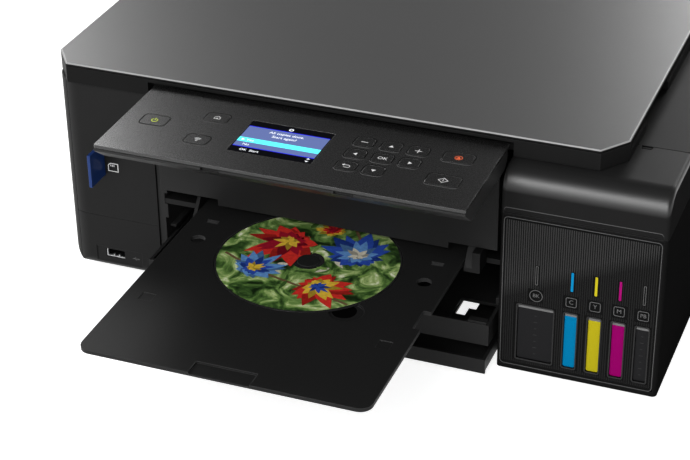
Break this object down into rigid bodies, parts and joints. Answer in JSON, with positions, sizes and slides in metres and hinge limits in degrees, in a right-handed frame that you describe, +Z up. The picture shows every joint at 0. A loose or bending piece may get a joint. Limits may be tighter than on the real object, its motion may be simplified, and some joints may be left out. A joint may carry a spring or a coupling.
{
  "type": "disc label printer",
  "caption": "Low all-in-one ink-tank printer with a flatbed scanner, a tilting control panel, paper trays and a sliding tray that holds a disc for label printing.",
  "frame": {"origin": "middle of the bounding box's underside, with the disc tray pulled out as at rest", "axes": "+X to the right as seen from the front, +Y to the back, +Z up"},
  "size_m": [0.425, 0.509, 0.161],
  "materials": {
    "case_black": "fine satin texture",
    "lid_grey": "satin, very fine grain",
    "rear_black": "fine matt texture",
    "panel_black": "satin",
    "housing_black": "semi-gloss",
    "key_black": "satin with printed signs",
    "screen": "lit colour screen behind clear plastic",
    "tray_grey": "matt, ribbed underside",
    "disc_tray_black": "satin",
    "disc_print": "printed label, satin",
    "tank_panel": "fine vertical ribs under gloss",
    "tank_clear": "translucent smoke, filled with ink",
    "cap_black": "soft cap",
    "cap_cyan": "soft cap",
    "cap_yellow": "soft cap",
    "cap_magenta": "soft cap",
    "cap_photo_black": "soft cap",
    "sheet_steel": "zinc plated",
    "dark_plastic": "moulded",
    "belt_rubber": "toothed",
    "roller_rubber": "ground",
    "foot_rubber": "matt",
    "tube_plastic": "clear flexible tube",
    "circuit_green": "solder mask",
    "card_blue": "moulded",
    "pad_white": "foam with a white film",
    "clear_glass": "clear"
  },
  "bodies": {
    "base": {"base_frame": "dark_plastic", "left_side_cover": "case_black", "left_upper_cover": "case_black", "left_lower_cover": "case_black", "rear_cover": "rear_black", "screws": "sheet_steel", "feet": "foot_rubber", "front_fascia": "case_black", "disc_tray_guides": "case_black", "tank_housing": "case_black", "tank_front_panel": "tank_panel", "ink_tanks": "tank_clear", "tank_rear_top_cover": "case_black", "chassis_frame": "sheet_steel", "drive_belts": "belt_rubber", "drive_motors": "sheet_steel", "platen": "dark_plastic", "maintenance_station": "dark_plastic", "ink_tubes": "tube_plastic", "power_supply": "dark_plastic", "main_board": "circuit_green", "card_reader": "circuit_green"},
    "scanner_unit": {"scanner_base": "case_black", "scanner_glass": "clear_glass"},
    "scan_head": {"scan_bar": "dark_plastic"},
    "lid": {"scanner_lid": "lid_grey", "lid_pad": "pad_white"},
    "panel": {"panel_plate": "panel_black", "panel_housing": "housing_black", "display": "screen"},
    "disc_tray": {"disc_tray": "disc_tray_black"},
    "disc": {"disc": "disc_print"},
    "main_cassette": {"main_cassette": "tray_grey"},
    "upper_cassette": {"upper_cassette": "tray_grey"},
    "output_tray": {"output_tray": "tray_grey"},
    "rear_flap": {"rear_feed_cover": "rear_black"},
    "tank_cover": {"tank_cover": "case_black"},
    "carriage": {"carriage": "dark_plastic"},
    "belt_pulley": {"belt_pulley": "dark_plastic"},
    "feed_roller": {"feed_roller": "roller_rubber"},
    "exit_roller": {"exit_roller": "roller_rubber"},
    "memory_card": {"memory_card": "card_blue"},
    "power_button": {"power_button": "key_black"},
    "home_button": {"home_button": "key_black"},
    "network_button": {"network_button": "key_black"},
    "minus_button": {"minus_button": "key_black"},
    "up_button": {"up_button": "key_black"},
    "plus_button": {"plus_button": "key_black"},
    "left_button": {"left_button": "key_black"},
    "ok_button": {"ok_button": "key_black"},
    "right_button": {"right_button": "key_black"},
    "back_button": {"back_button": "key_black"},
    "down_button": {"down_button": "key_black"},
    "stop_button": {"stop_button": "key_black"},
    "start_button": {"start_button": "key_black"},
    "black_cap": {"black_ink_cap": "cap_black"},
    "cyan_cap": {"cyan_ink_cap": "cap_cyan"},
    "yellow_cap": {"yellow_ink_cap": "cap_yellow"},
    "magenta_cap": {"magenta_ink_cap": "cap_magenta"},
    "photo_black_cap": {"photo_black_ink_cap": "cap_photo_black"}
  },
  "joints": [
    {"name": "scanner_lift", "type": "hinge", "parent": "base", "child": "scanner_unit", "pos_m": [0, 0.2525, 0.145], "axis": [-1, 0, 0], "range_deg": [0, 30]},
    {"name": "lid_hinge", "type": "hinge", "parent": "scanner_unit", "child": "lid", "pos_m": [0, 0.2485, 0.158], "axis": [-1, 0, 0], "range_deg": [0, 80]},
    {"name": "scan_slide", "type": "slide", "parent": "scanner_unit", "child": "scan_head", "axis": [1, 0, 0], "range_m": [0, 0.318]},
    {"name": "panel_tilt", "type": "hinge", "parent": "base", "child": "panel", "pos_m": [0, -0.08615, 0.14915], "axis": [1, 0, 0], "range_deg": [0, 90]},
    {"name": "disc_tray_slide", "type": "slide", "parent": "base", "child": "disc_tray", "axis": [0, 1, 0], "range_m": [-0.03, 0.14]},
    {"name": "disc_lift", "type": "slide", "parent": "disc_tray", "child": "disc", "axis": [0, 0, 1], "range_m": [0, 0.004]},
    {"name": "main_cassette_slide", "type": "slide", "parent": "base", "child": "main_cassette", "axis": [0, -1, 0], "range_m": [0, 0.25]},
    {"name": "upper_cassette_slide", "type": "slide", "parent": "base", "child": "upper_cassette", "axis": [0, -1, 0], "range_m": [0, 0.15]},
    {"name": "output_tray_slide", "type": "slide", "parent": "base", "child": "output_tray", "axis": [0, -1, 0], "range_m": [0, 0.19]},
    {"name": "rear_flap_hinge", "type": "hinge", "parent": "base", "child": "rear_flap", "pos_m": [-0.0175, 0.25325, 0.09725], "axis": [-1, 0, 0], "range_deg": [0, 80]},
    {"name": "tank_cover_hinge", "type": "hinge", "parent": "base", "child": "tank_cover", "pos_m": [0.16, -0.0352, 0.145], "axis": [-1, 0, 0], "range_deg": [0, 70]},
    {"name": "carriage_slide", "type": "slide", "parent": "base", "child": "carriage", "axis": [-1, 0, 0], "range_m": [0, 0.29]},
    {"name": "belt_pulley_spin", "type": "hinge", "parent": "base", "child": "belt_pulley", "pos_m": [0.1912, 0.1535, 0.102], "axis": [0, 0, 1], "continuous": true},
    {"name": "feed_roller_spin", "type": "hinge", "parent": "base", "child": "feed_roller", "pos_m": [0, 0.1525, 0.059], "axis": [1, 0, 0], "continuous": true},
    {"name": "exit_roller_spin", "type": "hinge", "parent": "base", "child": "exit_roller", "pos_m": [0, 0.0335, 0.0615], "axis": [1, 0, 0], "continuous": true},
    {"name": "memory_card_slide", "type": "slide", "parent": "base", "child": "memory_card", "axis": [0, -1, 0], "range_m": [0, 0.02]},
    {"name": "power_press", "type": "slide", "parent": "panel", "child": "power_button", "axis": [0, 0, -1], "range_m": [0, 0.0006], "stiffness_N_per_m": 1500},
    {"name": "home_press", "type": "slide", "parent": "panel", "child": "home_button", "axis": [0, 0, -1], "range_m": [0, 0.0006], "stiffness_N_per_m": 1500},
    {"name": "network_press", "type": "slide", "parent": "panel", "child": "network_button", "axis": [0, 0, -1], "range_m": [0, 0.0006], "stiffness_N_per_m": 1500},
    {"name": "minus_press", "type": "slide", "parent": "panel", "child": "minus_button", "axis": [0, 0, -1], "range_m": [0, 0.0006], "stiffness_N_per_m": 1500},
    {"name": "up_press", "type": "slide", "parent": "panel", "child": "up_button", "axis": [0, 0, -1], "range_m": [0, 0.0006], "stiffness_N_per_m": 1500},
    {"name": "plus_press", "type": "slide", "parent": "panel", "child": "plus_button", "axis": [0, 0, -1], "range_m": [0, 0.0006], "stiffness_N_per_m": 1500},
    {"name": "left_press", "type": "slide", "parent": "panel", "child": "left_button", "axis": [0, 0, -1], "range_m": [0, 0.0006], "stiffness_N_per_m": 1500},
    {"name": "ok_press", "type": "slide", "parent": "panel", "child": "ok_button", "axis": [0, 0, -1], "range_m": [0, 0.0006], "stiffness_N_per_m": 1500},
    {"name": "right_press", "type": "slide", "parent": "panel", "child": "right_button", "axis": [0, 0, -1], "range_m": [0, 0.0006], "stiffness_N_per_m": 1500},
    {"name": "back_press", "type": "slide", "parent": "panel", "child": "back_button", "axis": [0, 0, -1], "range_m": [0, 0.0006], "stiffness_N_per_m": 1500},
    {"name": "down_press", "type": "slide", "parent": "panel", "child": "down_button", "axis": [0, 0, -1], "range_m": [0, 0.0006], "stiffness_N_per_m": 1500},
    {"name": "stop_press", "type": "slide", "parent": "panel", "child": "stop_button", "axis": [0, 0, -1], "range_m": [0, 0.0006], "stiffness_N_per_m": 1500},
    {"name": "start_press", "type": "slide", "parent": "panel", "child": "start_button", "axis": [0, 0, -1], "range_m": [0, 0.0006], "stiffness_N_per_m": 1500},
    {"name": "black_cap_lift", "type": "slide", "parent": "base", "child": "black_cap", "axis": [0, 0, 1], "range_m": [0, 0.012]},
    {"name": "cyan_cap_lift", "type": "slide", "parent": "base", "child": "cyan_cap", "axis": [0, 0, 1], "range_m": [0, 0.012]},
    {"name": "yellow_cap_lift", "type": "slide", "parent": "base", "child": "yellow_cap", "axis": [0, 0, 1], "range_m": [0, 0.012]},
    {"name": "magenta_cap_lift", "type": "slide", "parent": "base", "child": "magenta_cap", "axis": [0, 0, 1], "range_m": [0, 0.012]},
    {"name": "photo_black_cap_lift", "type": "slide", "parent": "base", "child": "photo_black_cap", "axis": [0, 0, 1], "range_m": [0, 0.012]}
  ],
  "couplings": [
    {"joint": "tank_cover_hinge", "follows": "scanner_lift", "ratio": 2.3333},
    {"joint": "belt_pulley_spin", "follows": "carriage_slide", "rad_per_m": -166.67},
    {"joint": "exit_roller_spin", "follows": "feed_roller_spin", "ratio": 1.4545}
  ]
}
